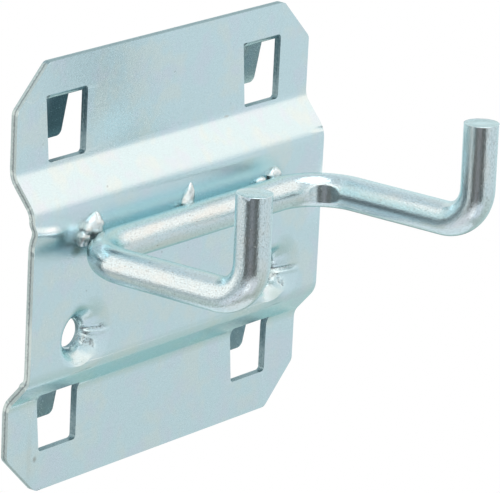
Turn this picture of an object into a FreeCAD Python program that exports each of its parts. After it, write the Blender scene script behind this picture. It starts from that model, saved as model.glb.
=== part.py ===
# Double pegboard hook: a folded and pierced steel plate with four lugs for a perforated panel,
# a bent steel rod with two upturned prongs, and the three weld beads that join them.
# Millimetres. X runs along the plate to the right, Y points into the panel, Z up.
# Origin: on the panel face, midway between the four lugs.
import FreeCAD
import Part
import Sketcher
import math
import os

V = FreeCAD.Vector

doc = FreeCAD.newDocument("pegboard_hook")

# Driving dimensions
SIZES = [
    ("lug_pitch", 38.0, "panel perforation pitch, lug to lug across and down"),
    ("side_margin", 9.4, "plate's side edges outside the middles of the lugs"),
    ("top_margin", 5.2, "plate's top edge above the seats of the upper lugs"),
    ("foot_margin", 5.25, "plate's lower edge below the feet of the lower windows"),
    ("sheet", 1.0, "thickness of the steel sheet"),
    ("corner_cut", 5.5, "leg of each cropped corner"),
    ("corner_round", 1.2, "rounding of the cropped corners"),
    ("upper_bend_gap", 0.65, "upper bend line below the feet of the upper windows"),
    ("lower_bend_gap", 0.6, "lower bend line below the seats of the lower lugs"),
    ("slope_run", 3.95, "height of each of the two slopes"),
    ("joggle", 3.45, "how far the middle stands in front of the strips"),
    ("bend_radius", 2.2, "inside radius of the long bends"),
    ("window_right", 3.45, "right side of a window from the middle of its lug"),
    ("window_left", 4.25, "left end of a window's head from the middle of its lug"),
    ("window_lean", 5.4, "degrees by which the left side leans in towards the foot"),
    ("window_drop", 7.75, "foot of a window below the seat of its lug"),
    ("upper_window", 8.75, "height of the upper windows"),
    ("lower_window", 7.9, "height of the lower windows"),
    ("window_round", 0.5, "corner radius at the foot of the windows"),
    ("head_round", 0.55, "corner radius at the right end of a window's head"),
    ("lug_root", 6.5, "width of a lug where it leaves the sheet"),
    ("lug_tip", 6.0, "width of a lug at its tip"),
    ("lug_gap", 2.0, "room for the panel between plate and lug"),
    ("lug_lean", 9.0, "degrees by which a lug leans back"),
    ("lug_bend", 0.7, "inside radius of the lug bends"),
    ("lug_round", 0.8, "corner radius of the lug tips"),
    ("upper_lug", 6.2, "drop of the upper lugs below their seat"),
    ("lower_lug", 5.15, "drop of the lower lugs below their seat"),
    ("screw_hole", 3.8, "diameter of the screw holes"),
    ("screw_rise", 7.6, "screw holes above the seats of the lower lugs"),
    ("dimple_width", 8.4, "diameter of the dimple round each screw hole"),
    ("dimple_depth", 1.8, "depth of that dimple"),
    ("dimple_cone", 45.0, "degrees between the dimple's wall and the plate"),
    ("dimple_lip", 10.0, "degrees at which the rounded lip meets the plate"),
    ("dimple_round", 1.9, "radius of that lip"),
    ("dimple_land", 0.35, "flat ring round the hole at the dimple's back"),
    ("rod", 4.5, "diameter of the rod"),
    ("bar_height", 0.6, "axis of the cross bar above the origin"),
    ("prong_spacing", 45.8, "centre distance of the two prongs"),
    ("prong_shift", 0.7, "rod set to the right of the plate's middle"),
    ("prong_reach", 35.6, "front of the upturned ends from the panel face"),
    ("prong_rise", 0.9, "degrees by which the prongs rise"),
    ("side_bend", 7.0, "axis radius of the bends between bar and prongs"),
    ("tip_bend", 5.0, "axis radius of the bends of the upturned ends"),
    ("tip_height", 13.6, "upturned end above the prong's axis"),
    ("tip_edge", 0.25, "broken edge of the cut rod ends"),
    ("left_bead", 2.9, "width of the left weld bead"),
    ("left_bead_belly", 2.15, "top of its full width above the bar's axis"),
    ("left_bead_rise", 4.35, "its pointed top above the bar's axis"),
    ("left_bead_inset", 4.25, "its middle inside the left prong's axis"),
    ("middle_bead", 1.8, "width of the middle weld bead"),
    ("middle_bead_belly", 1.7, "top of its full width above the bar's axis"),
    ("middle_bead_rise", 4.3, "its pointed top above the bar's axis"),
    ("middle_bead_offset", 0.25, "its middle to the left of the bar's middle"),
    ("right_bead", 2.3, "width of the right weld bead"),
    ("right_bead_belly", 1.8, "top of its full width above the bar's axis"),
    ("right_bead_rise", 2.9, "its pointed top above the bar's axis"),
    ("right_bead_inset", 5.5, "its middle inside the right prong's axis"),
    ("bead_foot", 1.1, "lower ends of the beads above the bar's axis"),
    ("bead_tip", 0.35, "radius of their pointed tops"),
]

sheet = doc.addObject("Spreadsheet::Sheet", "sizes")
for row, (alias, value, note) in enumerate(SIZES, start=1):
    sheet.set(f"A{row}", alias)
    sheet.set(f"B{row}", str(value))
    sheet.setAlias(f"B{row}", alias)
    sheet.set(f"C{row}", note)
doc.recompute()
size = {alias: float(sheet.get(alias)) for alias, value, note in SIZES}


# Sketch helpers
def add_sketch(body, name, role):
    """An empty sketch on one of the body's origin planes."""
    sketch = body.newObject("Sketcher::SketchObject", name)
    plane = next(f for f in body.Origin.OriginFeatures if f.Role == role)
    sketch.AttachmentSupport = [(plane, "")]
    sketch.MapMode = "FlatFace"
    return sketch


def hold(sketch, name, expression, kind, *where):
    """A dimension of the sketch that follows the sheet."""
    number = float(sketch.evalExpression(expression))
    if kind == "Angle":
        number = math.radians(number)
    index = sketch.addConstraint(Sketcher.Constraint(kind, *where, number))
    sketch.renameConstraint(index, name)
    sketch.setExpression("Constraints." + name, expression)


def add_line(sketch, start, end):
    return sketch.addGeometry(Part.LineSegment(V(*start, 0), V(*end, 0)), False)


def add_bend(sketch, centre, radius, start, end):
    """An arc, its angles in degrees counter-clockwise; returns its number."""
    circle = Part.Circle(V(*centre, 0), V(0, 0, 1), radius)
    arc = Part.ArcOfCircle(circle, math.radians(start), math.radians(end))
    return sketch.addGeometry(arc, False)


def join(sketch, kind, first, first_end, second, second_end):
    sketch.addConstraint(Sketcher.Constraint(kind, first, first_end, second, second_end))


def add_loop(sketch, points):
    """A closed loop of straight lines; returns the number of its first line."""
    first = sketch.GeometryCount
    count = len(points)
    for a, b in zip(points, points[1:] + points[:1]):
        add_line(sketch, a, b)
    for n in range(count):
        join(sketch, "Coincident", first + n, 2, first + (n + 1) % count, 1)
    return first


def straight(sketch, kind, lines):
    for line in lines:
        sketch.addConstraint(Sketcher.Constraint(kind, line))


def add_feature(body, kind, name, **bound):
    """A feature of the body whose named properties follow the sheet."""
    feature = body.newObject(kind, name)
    for prop, expression in bound.items():
        feature.setExpression(prop, expression)
    return feature


def cut_through(body, name, sketch):
    pocket = add_feature(body, "PartDesign::Pocket", name)
    pocket.Profile = sketch
    pocket.SideType = "Two sides"
    pocket.Type = "ThroughAll"
    pocket.Type2 = "ThroughAll"
    return pocket


def pattern_across(body, name, originals):
    """Repeats features at the next lug pitch to the right."""
    pattern = add_feature(body, "PartDesign::LinearPattern", name, Length="sizes.lug_pitch")
    pattern.Originals = originals
    pattern.Direction = (next(f for f in body.Origin.OriginFeatures if f.Role == "X_Axis"), [""])
    pattern.Occurrences = 2
    body.Tip = pattern
    return pattern


def dress(body, kind, name, base, test, **bound):
    """A fillet or chamfer on the edges of base that pass the test."""
    doc.recompute()
    edges = [f"Edge{n}" for n, edge in enumerate(base.Shape.Edges, start=1) if test(edge)]
    feature = add_feature(body, kind, name, **bound)
    feature.Base = (base, edges)
    return feature


def runs_along(edge, direction):
    """True for a straight edge parallel to the direction."""
    if not isinstance(edge.Curve, Part.Line):
        return False
    return abs(abs(edge.Curve.Direction.dot(direction)) - 1) < 1e-6


def near_any(edge, places, reach=0.02):
    """True where the edge's middle lies at one of the (x, z) places."""
    middle = edge.CenterOfMass
    return any(math.hypot(middle.x - x, middle.z - z) < reach for x, z in places)


# Heights and depths that several features share
seat = size["lug_pitch"] / 2
plate_top = seat + size["top_margin"]
plate_foot = -seat - size["window_drop"] - size["foot_margin"]
upper_bend = seat - size["window_drop"] - size["upper_bend_gap"]
middle_top = upper_bend - size["slope_run"]
lower_bend = -seat - size["lower_bend_gap"]
middle_foot = lower_bend + size["slope_run"]
middle_front = -(size["joggle"] + size["sheet"])

# Back plate: the folded strip
plate = doc.addObject("PartDesign::Body", "back_plate")
plate.Label = "back_plate"

fold = math.atan2(size["joggle"], size["slope_run"])
mitre = size["sheet"] * math.tan(fold / 2)
front_side = [
    (-size["sheet"], plate_top),
    (-size["sheet"], upper_bend),
    (middle_front, middle_top),
    (middle_front, middle_foot),
    (-size["sheet"], lower_bend),
    (-size["sheet"], plate_foot),
]
back_side = [
    (0, plate_foot),
    (0, lower_bend + mitre),
    (-size["joggle"], middle_foot + mitre),
    (-size["joggle"], middle_top - mitre),
    (0, upper_bend - mitre),
    (0, plate_top),
]
profile = add_sketch(plate, "fold_profile", "YZ_Plane")
add_loop(profile, front_side + back_side)
straight(profile, "Vertical", (0, 2, 4, 6, 8, 10))
straight(profile, "Horizontal", (5, 11))
profile.addConstraint(Sketcher.Constraint("PointOnObject", 6, 1, -2))
profile.addConstraint(Sketcher.Constraint("PointOnObject", 10, 2, -2))
profile.addConstraint(Sketcher.Constraint("Parallel", 1, 9))
profile.addConstraint(Sketcher.Constraint("Parallel", 3, 7))
hold(profile, "upper_slope_sheet", "sizes.sheet", "Distance", 1, 1, 9)
hold(profile, "lower_slope_sheet", "sizes.sheet", "Distance", 3, 1, 7)
hold(profile, "top_sheet", "sizes.sheet", "DistanceX", 11, 2, 11, 1)
hold(profile, "foot_sheet", "sizes.sheet", "DistanceX", 5, 1, 5, 2)
hold(profile, "middle_sheet", "sizes.sheet", "DistanceX", 2, 1, 8, 2)
hold(profile, "joggle", "sizes.joggle", "DistanceX", 8, 2, -1, 1)
hold(profile, "top", "sizes.lug_pitch / 2 + sizes.top_margin", "DistanceY", -1, 1, 0, 1)
hold(profile, "foot", "sizes.lug_pitch / 2 + sizes.window_drop + sizes.foot_margin",
     "DistanceY", 4, 2, -1, 1)
hold(profile, "upper_bend", "sizes.lug_pitch / 2 - sizes.window_drop - sizes.upper_bend_gap",
     "DistanceY", -1, 1, 0, 2)
hold(profile, "upper_slope", "sizes.slope_run", "DistanceY", 1, 2, 1, 1)
hold(profile, "lower_bend", "sizes.lug_pitch / 2 + sizes.lower_bend_gap",
     "DistanceY", 3, 2, -1, 1)
hold(profile, "lower_slope", "sizes.slope_run", "DistanceY", 3, 2, 3, 1)

strip = add_feature(plate, "PartDesign::Pad", "strip",
                    Length="sizes.lug_pitch + 2 * sizes.side_margin")
strip.Profile = profile
strip.SideType = "Symmetric"

bend_insides = [(-size["sheet"], upper_bend), (-size["joggle"], middle_top - mitre),
                (-size["joggle"], middle_foot + mitre), (-size["sheet"], lower_bend)]
bend_outsides = [(0, upper_bend - mitre), (middle_front, middle_top),
                 (middle_front, middle_foot), (0, lower_bend + mitre)]


def at_bend(edge, places):
    middle = edge.CenterOfMass
    return runs_along(edge, V(1, 0, 0)) and any(
        math.hypot(middle.y - y, middle.z - z) < 0.02 for y, z in places)


inside_bends = dress(plate, "PartDesign::Fillet", "inside_bends", strip,
                     lambda edge: at_bend(edge, bend_insides), Radius="sizes.bend_radius")
outside_bends = dress(plate, "PartDesign::Fillet", "outside_bends", inside_bends,
                      lambda edge: at_bend(edge, bend_outsides),
                      Radius="sizes.bend_radius + sizes.sheet")

# Cropped corners
half_width = seat + size["side_margin"]
corners = [(x, z) for x in (-half_width, half_width) for z in (plate_foot, plate_top)]
cropped = dress(plate, "PartDesign::Chamfer", "cropped_corners", outside_bends,
                lambda edge: runs_along(edge, V(0, 1, 0)) and near_any(edge, corners),
                Size="sizes.corner_cut")
crop_ends = []
for x, z in corners:
    inward = math.copysign(size["corner_cut"], -x)
    crop_ends.append((x + inward, z))
    crop_ends.append((x, z + (size["corner_cut"] if z < 0 else -size["corner_cut"])))
corner_rounds = dress(plate, "PartDesign::Fillet", "corner_rounds", cropped,
                      lambda edge: runs_along(edge, V(0, 1, 0)) and near_any(edge, crop_ends),
                      Radius="sizes.corner_round")

# Windows behind which the lugs stand
window_sketch = add_sketch(plate, "window_outline", "XZ_Plane")
slant, rounding = math.radians(size["window_lean"]), size["window_round"]
head_round = size["head_round"]
for row, sign in (("upper", 1), ("lower", -1)):
    foot = sign * seat - size["window_drop"]
    head = foot + size[row + "_window"]
    left, right = -seat - size["window_left"], -seat + size["window_right"]
    toe = left + (head - foot) * math.tan(slant) + rounding * math.tan((math.pi / 2 - slant) / 2)
    low = foot + rounding
    left_end = (toe - rounding * math.cos(slant), low - rounding * math.sin(slant))
    sole = add_line(window_sketch, (toe, foot), (right - rounding, foot))
    right_turn = add_bend(window_sketch, (right - rounding, low), rounding, 270, 360)
    right_side = add_line(window_sketch, (right, low), (right, head - head_round))
    head_turn = add_bend(window_sketch, (right - head_round, head - head_round), head_round, 0, 90)
    top = add_line(window_sketch, (right - head_round, head), (left, head))
    left_side = add_line(window_sketch, (left, head), left_end)
    left_turn = add_bend(window_sketch, (toe, low), rounding, 180 + size["window_lean"], 270)
    join(window_sketch, "Tangent", sole, 2, right_turn, 1)
    join(window_sketch, "Tangent", right_turn, 2, right_side, 1)
    join(window_sketch, "Tangent", right_side, 2, head_turn, 1)
    join(window_sketch, "Tangent", head_turn, 2, top, 1)
    join(window_sketch, "Coincident", top, 2, left_side, 1)
    join(window_sketch, "Tangent", left_side, 2, left_turn, 1)
    join(window_sketch, "Tangent", left_turn, 2, sole, 1)
    straight(window_sketch, "Horizontal", (sole, top))
    straight(window_sketch, "Vertical", (right_side,))
    hold(window_sketch, row + "_right_round", "sizes.window_round", "Radius", right_turn)
    hold(window_sketch, row + "_left_round", "sizes.window_round", "Radius", left_turn)
    hold(window_sketch, row + "_head_round", "sizes.head_round", "Radius", head_turn)
    hold(window_sketch, row + "_right", "sizes.lug_pitch / 2 - sizes.window_right",
         "DistanceX", right_side, 2, -1, 1)
    hold(window_sketch, row + "_left", "sizes.lug_pitch / 2 + sizes.window_left",
         "DistanceX", left_side, 1, -1, 1)
    hold(window_sketch, row + "_lean", "90 - sizes.window_lean", "Angle", left_side, 1, top, 2)
    hold(window_sketch, row + "_height", f"sizes.{row}_window",
         "DistanceY", sole, 2, top, 1)
    if sign > 0:
        hold(window_sketch, "upper_foot", "sizes.lug_pitch / 2 - sizes.window_drop",
             "DistanceY", -1, 1, sole, 1)
    else:
        hold(window_sketch, "lower_foot", "sizes.lug_pitch / 2 + sizes.window_drop",
             "DistanceY", sole, 1, -1, 1)
windows = cut_through(plate, "windows", window_sketch)


# Lugs: bent back at the top edge of each window, then down behind the panel
def lug_profile(row, sign):
    """Side view of one lug. The upper ones leave the flat strip through a bend of their own,
    the lower ones leave the slope, which already points back."""
    sketch = add_sketch(plate, row + "_lug_profile", "YZ_Plane")
    sketch.setExpression("AttachmentOffset.Base.z", "-sizes.lug_pitch / 2")
    t, inner, lean = size["sheet"], size["lug_bend"], math.radians(size["lug_lean"])
    bearing = sign * seat
    drop = size[row + "_lug"]
    knee = (size["lug_gap"] - inner * math.cos(lean), bearing - inner)
    down = (math.sin(lean), -math.cos(lean))
    across = (math.cos(lean), math.sin(lean))
    top_front = (knee[0] + inner * across[0], knee[1] + inner * across[1])
    length = (top_front[1] - (bearing - drop)) / math.cos(lean)
    tip_front = (top_front[0] + length * down[0], top_front[1] + length * down[1])
    tip_back = (tip_front[0] + t * across[0], tip_front[1] + t * across[1])
    top_back = (top_front[0] + t * across[0], top_front[1] + t * across[1])
    root = inner if sign > 0 else -t * 1.4

    under = add_line(sketch, (root, bearing), (knee[0], bearing))
    inner_knee = add_bend(sketch, knee, inner, size["lug_lean"], 90)
    front = add_line(sketch, top_front, tip_front)
    tip = add_line(sketch, tip_front, tip_back)
    back = add_line(sketch, tip_back, top_back)
    outer_knee = add_bend(sketch, knee, inner + t, size["lug_lean"], 90)
    over = add_line(sketch, (knee[0], bearing + t), (root, bearing + t))
    join(sketch, "Tangent", under, 2, inner_knee, 2)
    join(sketch, "Tangent", inner_knee, 1, front, 1)
    join(sketch, "Coincident", front, 2, tip, 1)
    join(sketch, "Coincident", tip, 2, back, 1)
    join(sketch, "Tangent", back, 2, outer_knee, 1)
    join(sketch, "Tangent", outer_knee, 2, over, 1)
    join(sketch, "Coincident", inner_knee, 3, outer_knee, 3)
    sketch.addConstraint(Sketcher.Constraint("Horizontal", under))
    sketch.addConstraint(Sketcher.Constraint("Perpendicular", front, tip))
    hold(sketch, "knee_inside", "sizes.lug_bend", "Radius", inner_knee)
    hold(sketch, "knee_outside", "sizes.lug_bend + sizes.sheet", "Radius", outer_knee)
    hold(sketch, "gap", "sizes.lug_gap", "DistanceX", -1, 1, front, 1)
    hold(sketch, "drop", f"sizes.{row}_lug", "DistanceY", front, 2, under, 2)
    hold(sketch, "lean", "90 + sizes.lug_lean", "Angle", under, 2, front, 1)
    if sign > 0:
        centre = (inner, bearing + t + inner)
        inner_root = add_bend(sketch, centre, inner, 180, 270)
        outer_root = add_bend(sketch, centre, inner + t, 180, 270)
        close = add_line(sketch, (0, bearing + t + inner), (-t, bearing + t + inner))
        join(sketch, "Tangent", over, 2, inner_root, 2)
        join(sketch, "Coincident", inner_root, 1, close, 1)
        join(sketch, "Coincident", close, 2, outer_root, 1)
        join(sketch, "Tangent", outer_root, 2, under, 1)
        join(sketch, "Coincident", inner_root, 3, outer_root, 3)
        sketch.addConstraint(Sketcher.Constraint("PointOnObject", inner_root, 1, -2))
        sketch.addConstraint(Sketcher.Constraint("Horizontal", close))
        sketch.addConstraint(Sketcher.Constraint("Horizontal", inner_root, 1, inner_root, 3))
        hold(sketch, "root_inside", "sizes.lug_bend", "Radius", inner_root)
        hold(sketch, "root_outside", "sizes.lug_bend + sizes.sheet", "Radius", outer_root)
        hold(sketch, "seat", "sizes.lug_pitch / 2", "DistanceY", -1, 1, under, 2)
    else:
        close = add_line(sketch, (root, bearing + t), (root, bearing))
        join(sketch, "Coincident", over, 2, close, 1)
        join(sketch, "Coincident", close, 2, under, 1)
        sketch.addConstraint(Sketcher.Constraint("Vertical", close))
        hold(sketch, "root", "sizes.sheet * 1.4", "DistanceX", close, 2, -1, 1)
        hold(sketch, "seat", "sizes.lug_pitch / 2", "DistanceY", under, 2, -1, 1)
    pad = add_feature(plate, "PartDesign::Pad", row + "_lug", Length="sizes.lug_root")
    pad.Profile = sketch
    pad.SideType = "Symmetric"
    return pad


upper_lug = lug_profile("upper", 1)
lower_lug = lug_profile("lower", -1)

# The lugs taper towards their tips
taper_sketch = add_sketch(plate, "lug_taper", "XZ_Plane")
for row, sign in (("upper", 1), ("lower", -1)):
    knee_height = sign * seat - size["lug_bend"]
    tip_height = sign * seat - size[row + "_lug"]
    for side, hand in (("left", -1), ("right", 1)):
        wide = -seat + hand * size["lug_root"] / 2
        narrow = -seat + hand * size["lug_tip"] / 2
        n = add_loop(taper_sketch, [(wide, knee_height), (narrow, tip_height), (wide, tip_height)])
        straight(taper_sketch, "Horizontal", (n + 1,))
        straight(taper_sketch, "Vertical", (n + 2,))
        name = row + "_" + side
        half = "sizes.lug_root / 2"
        shift = f"sizes.lug_pitch / 2 {'+' if hand < 0 else '-'} {half}"
        hold(taper_sketch, name + "_place", shift, "DistanceX", n + 2, 1, -1, 1)
        ends = (n, 1, n, 2) if hand < 0 else (n, 2, n, 1)
        hold(taper_sketch, name + "_taper", "(sizes.lug_root - sizes.lug_tip) / 2",
             "DistanceX", *ends)
        hold(taper_sketch, name + "_length", f"sizes.{row}_lug - sizes.lug_bend",
             "DistanceY", n, 2, n, 1)
        if sign > 0:
            hold(taper_sketch, name + "_foot", "sizes.lug_pitch / 2 - sizes.upper_lug",
                 "DistanceY", -1, 1, n, 2)
        else:
            hold(taper_sketch, name + "_foot", "sizes.lug_pitch / 2 + sizes.lower_lug",
                 "DistanceY", n, 2, -1, 1)
doc.recompute()
taper = add_feature(plate, "PartDesign::Pocket", "tapered_lugs")
taper.Profile = taper_sketch
taper.Type = "ThroughAll"
before = plate.Shape.Volume
doc.recompute()
if taper.Shape.BoundBox.isValid() and taper.Shape.Volume > before - 0.01:
    taper.Reversed = True

# Screw holes, each in a dimple pressed back towards the panel
screw_height = -seat + size["screw_rise"]
rim, bore = size["dimple_width"] / 2, size["screw_hole"] / 2


def dimple_sketch(name):
    """A half section whose vertical axis is the axis of the left screw hole."""
    sketch = add_sketch(plate, name, "XY_Plane")
    sketch.setExpression("AttachmentOffset.Base.x", "-sizes.lug_pitch / 2")
    sketch.setExpression("AttachmentOffset.Base.z", "sizes.screw_rise - sizes.lug_pitch / 2")
    return sketch


def revolve(kind, name, sketch):
    feature = add_feature(plate, kind, name)
    feature.Profile = sketch
    feature.ReferenceAxis = (sketch, ["V_Axis"])
    feature.Angle = 360
    return feature


boss_sketch = dimple_sketch("dimple_back_section")
mid_sheet = -size["joggle"] - size["sheet"] / 2
boss_end = size["dimple_depth"] - size["joggle"]
add_loop(boss_sketch, [(0, mid_sheet), (rim, mid_sheet), (rim, -size["joggle"]),
                       (bore + size["dimple_land"], boss_end), (0, boss_end)])
straight(boss_sketch, "Horizontal", (0, 3))
straight(boss_sketch, "Vertical", (1,))
boss_sketch.addConstraint(Sketcher.Constraint("PointOnObject", 0, 1, -2))
boss_sketch.addConstraint(Sketcher.Constraint("PointOnObject", 4, 1, -2))
hold(boss_sketch, "rim", "sizes.dimple_width / 2", "DistanceX", -1, 1, 1, 1)
hold(boss_sketch, "land", "sizes.screw_hole / 2 + sizes.dimple_land", "DistanceX", -1, 1, 2, 2)
hold(boss_sketch, "sheet_middle", "sizes.joggle + sizes.sheet / 2", "DistanceY", 0, 1, -1, 1)
hold(boss_sketch, "sheet_back", "sizes.joggle", "DistanceY", 1, 2, -1, 1)
hold(boss_sketch, "depth", "sizes.joggle - sizes.dimple_depth", "DistanceY", 3, 2, -1, 1)
boss = revolve("PartDesign::Revolution", "dimple_back", boss_sketch)

# The front of the dimple: a rounded lip, a cone and the bore in one revolved cut
hollow_sketch = dimple_sketch("dimple_front_section")
lip, cone = math.radians(size["dimple_lip"]), math.radians(size["dimple_cone"])
rounding = size["dimple_round"]
lip_end = (rim - rounding * (math.sin(cone) - math.sin(lip)),
           middle_front + rounding * (math.cos(lip) - math.cos(cone)))
outside = middle_front - size["sheet"] / 4
lip_start = (rim + size["sheet"] / 4 / math.tan(lip), outside)
bore_front = (bore, lip_end[1] + (lip_end[0] - bore) * math.tan(cone))
bore_back = boss_end + size["sheet"]
hollow_points = [(0, outside), lip_start, (rim, middle_front), lip_end, bore_front,
                 (bore, bore_back), (0, bore_back)]
for a, b in zip(hollow_points, hollow_points[1:] + hollow_points[:1]):
    if a == (rim, middle_front):
        centre = (rim + rounding * math.sin(lip), middle_front + rounding * math.cos(lip))
        add_bend(hollow_sketch, centre, rounding,
                 270 - size["dimple_cone"], 270 - size["dimple_lip"])
    else:
        add_line(hollow_sketch, a, b)
join(hollow_sketch, "Coincident", 0, 2, 1, 1)
join(hollow_sketch, "Tangent", 1, 2, 2, 2)
join(hollow_sketch, "Tangent", 2, 1, 3, 1)
for n in (3, 4, 5, 6):
    join(hollow_sketch, "Coincident", n, 2, (n + 1) % 7, 1)
straight(hollow_sketch, "Horizontal", (0, 5))
straight(hollow_sketch, "Vertical", (4,))
hollow_sketch.addConstraint(Sketcher.Constraint("PointOnObject", 0, 1, -2))
hollow_sketch.addConstraint(Sketcher.Constraint("PointOnObject", 6, 1, -2))
hold(hollow_sketch, "outside", "sizes.joggle + sizes.sheet * 1.25", "DistanceY", 0, 1, -1, 1)
hold(hollow_sketch, "rim_depth", "sizes.joggle + sizes.sheet", "DistanceY", 2, 2, -1, 1)
hold(hollow_sketch, "rim", "sizes.dimple_width / 2", "DistanceX", -1, 1, 2, 2)
hold(hollow_sketch, "rounding", "sizes.dimple_round", "Radius", 2)
hold(hollow_sketch, "lip", "sizes.dimple_lip", "Angle", 1, 1, 0, 2)
hold(hollow_sketch, "cone", "90 + sizes.dimple_cone", "Angle", 3, 2, 4, 1)
hold(hollow_sketch, "bore", "sizes.screw_hole / 2", "DistanceX", -1, 1, 4, 1)
hold(hollow_sketch, "bore_back", "sizes.joggle - sizes.dimple_depth - sizes.sheet",
     "DistanceY", 5, 2, -1, 1)
hollow = revolve("PartDesign::Groove", "dimple_front", hollow_sketch)

both_sides = pattern_across(plate, "right_hand_features",
                            [windows, upper_lug, lower_lug, taper, boss, hollow])


# Rounded corners of the lug tips
tip_places = [(x + side * size["lug_tip"] / 2, sign * seat - size[row + "_lug"])
              for x in (-seat, seat) for side in (-1, 1)
              for row, sign in (("upper", 1), ("lower", -1))]


def at_lug_tip(edge):
    """True for the short edges through the sheet at the corners of a lug's tip."""
    return (isinstance(edge.Curve, Part.Line) and edge.Length < size["sheet"] * 1.1
            and edge.BoundBox.YMin > size["sheet"] and near_any(edge, tip_places, reach=0.3))


lug_rounds = dress(plate, "PartDesign::Fillet", "lug_rounds", both_sides, at_lug_tip,
                   Radius="sizes.lug_round")
plate.Tip = lug_rounds

# Hook rod: cross bar, two prongs and their upturned ends, bent from one piece
rod = doc.addObject("PartDesign::Body", "hook_rod")
rod.Label = "hook_rod"
bar_depth = "sizes.joggle + sizes.sheet + sizes.rod / 2"
prong_length = f"(sizes.prong_reach - sizes.rod / 2 - ({bar_depth}))"
half_span = size["prong_spacing"] / 2
reach = (size["prong_reach"] - size["rod"] - size["joggle"] - size["sheet"])
bend, tip_radius = size["side_bend"], size["tip_bend"]
prong_end = -(reach - tip_radius)

path = add_sketch(rod, "bar_and_prongs", "XY_Plane")
left_prong = add_line(path, (-half_span, prong_end), (-half_span, -bend))
left_bend = add_bend(path, (-half_span + bend, -bend), bend, 90, 180)
bar = add_line(path, (-half_span + bend, 0), (half_span - bend, 0))
right_bend = add_bend(path, (half_span - bend, -bend), bend, 0, 90)
right_prong = add_line(path, (half_span, -bend), (half_span, prong_end))
join(path, "Tangent", left_prong, 2, left_bend, 2)
join(path, "Tangent", left_bend, 1, bar, 1)
join(path, "Tangent", bar, 2, right_bend, 2)
join(path, "Tangent", right_bend, 1, right_prong, 1)
path.addConstraint(Sketcher.Constraint("Vertical", left_prong))
path.addConstraint(Sketcher.Constraint("Vertical", right_prong))
path.addConstraint(Sketcher.Constraint("PointOnObject", bar, 1, -1))
path.addConstraint(Sketcher.Constraint("Symmetric", left_prong, 1, right_prong, 2, -2))
hold(path, "left_bend", "sizes.side_bend", "Radius", left_bend)
hold(path, "right_bend", "sizes.side_bend", "Radius", right_bend)
hold(path, "spacing", "sizes.prong_spacing", "DistanceX", left_prong, 1, right_prong, 2)
hold(path, "length", f"{prong_length} - sizes.tip_bend", "DistanceY", left_prong, 1, -1, 1)

section = add_sketch(rod, "rod_section", "XZ_Plane")
section.setExpression("AttachmentOffset.Base.z", f"{prong_length} - sizes.tip_bend")
section.addGeometry(Part.Circle(V(-half_span, 0, 0), V(0, 0, 1), size["rod"] / 2), False)
section.addConstraint(Sketcher.Constraint("PointOnObject", 0, 3, -1))
hold(section, "place", "sizes.prong_spacing / 2", "DistanceX", 0, 3, -1, 1)
hold(section, "diameter", "sizes.rod", "Diameter", 0)

sweep = add_feature(rod, "PartDesign::AdditivePipe", "swept_rod")
sweep.Profile = section
sweep.Spine = path
sweep.Mode = "Frenet"


def twin_circles(name, role):
    """The rod's section at both prongs."""
    sketch = add_sketch(rod, name, role)
    for n, hand in enumerate((-1, 1)):
        sketch.addGeometry(
            Part.Circle(V(hand * half_span, 0, 0), V(0, 0, 1), size["rod"] / 2), False)
        ends = (n, 3, -1, 1) if hand < 0 else (-1, 1, n, 3)
        hold(sketch, f"place_{n}", "sizes.prong_spacing / 2", "DistanceX", *ends)
        hold(sketch, f"diameter_{n}", "sizes.rod", "Diameter", n)
    return sketch


tip_section = twin_circles("tip_bend_section", "XZ_Plane")
for n in (0, 1):
    tip_section.addConstraint(Sketcher.Constraint("PointOnObject", n, 3, -1))
tip_section.setExpression("AttachmentOffset.Base.z", f"{prong_length} - sizes.tip_bend")
pivot = tip_section.addGeometry(
    Part.LineSegment(V(-half_span, tip_radius, 0), V(half_span, tip_radius, 0)), True)
tip_section.addConstraint(Sketcher.Constraint("Horizontal", pivot))
hold(tip_section, "pivot_height", "sizes.tip_bend", "DistanceY", -1, 1, pivot, 1)
turned = add_feature(rod, "PartDesign::Revolution", "tip_bends")
turned.Profile = tip_section
turned.ReferenceAxis = (tip_section, ["Axis0"])
turned.Angle = 90
doc.recompute()
if turned.Shape.BoundBox.YMin > prong_end - size["tip_bend"] / 2:
    turned.Reversed = True

upright_section = add_sketch(rod, "upright_section", "XY_Plane")
upright_section.setExpression("AttachmentOffset.Base.z", "sizes.tip_bend")
for n, hand in enumerate((-1, 1)):
    upright_section.addGeometry(
        Part.Circle(V(hand * half_span, -reach, 0), V(0, 0, 1), size["rod"] / 2), False)
    ends = (n, 3, -1, 1) if hand < 0 else (-1, 1, n, 3)
    hold(upright_section, f"place_{n}", "sizes.prong_spacing / 2", "DistanceX", *ends)
    hold(upright_section, f"front_{n}", prong_length, "DistanceY", n, 3, -1, 1)
    hold(upright_section, f"diameter_{n}", "sizes.rod", "Diameter", n)
uprights = add_feature(rod, "PartDesign::Pad", "uprights",
                       Length="sizes.tip_height - sizes.tip_bend")
uprights.Profile = upright_section


def at_cut_end(edge):
    return (isinstance(edge.Curve, Part.Circle)
            and abs(edge.Curve.Center.z - size["tip_height"]) < 1e-4)


cut_ends = dress(rod, "PartDesign::Chamfer", "cut_ends", uprights, at_cut_end,
                 Size="sizes.tip_edge")
rod.Tip = cut_ends
rod.Placement = FreeCAD.Placement(V(), FreeCAD.Rotation(V(-1, 0, 0), size["prong_rise"]))
rod.setExpression("Placement.Rotation.Angle", "sizes.prong_rise")
rod.setExpression("Placement.Base.x", "sizes.prong_shift")
rod.setExpression("Placement.Base.y", f"-({bar_depth})")
rod.setExpression("Placement.Base.z", "sizes.bar_height")

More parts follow.
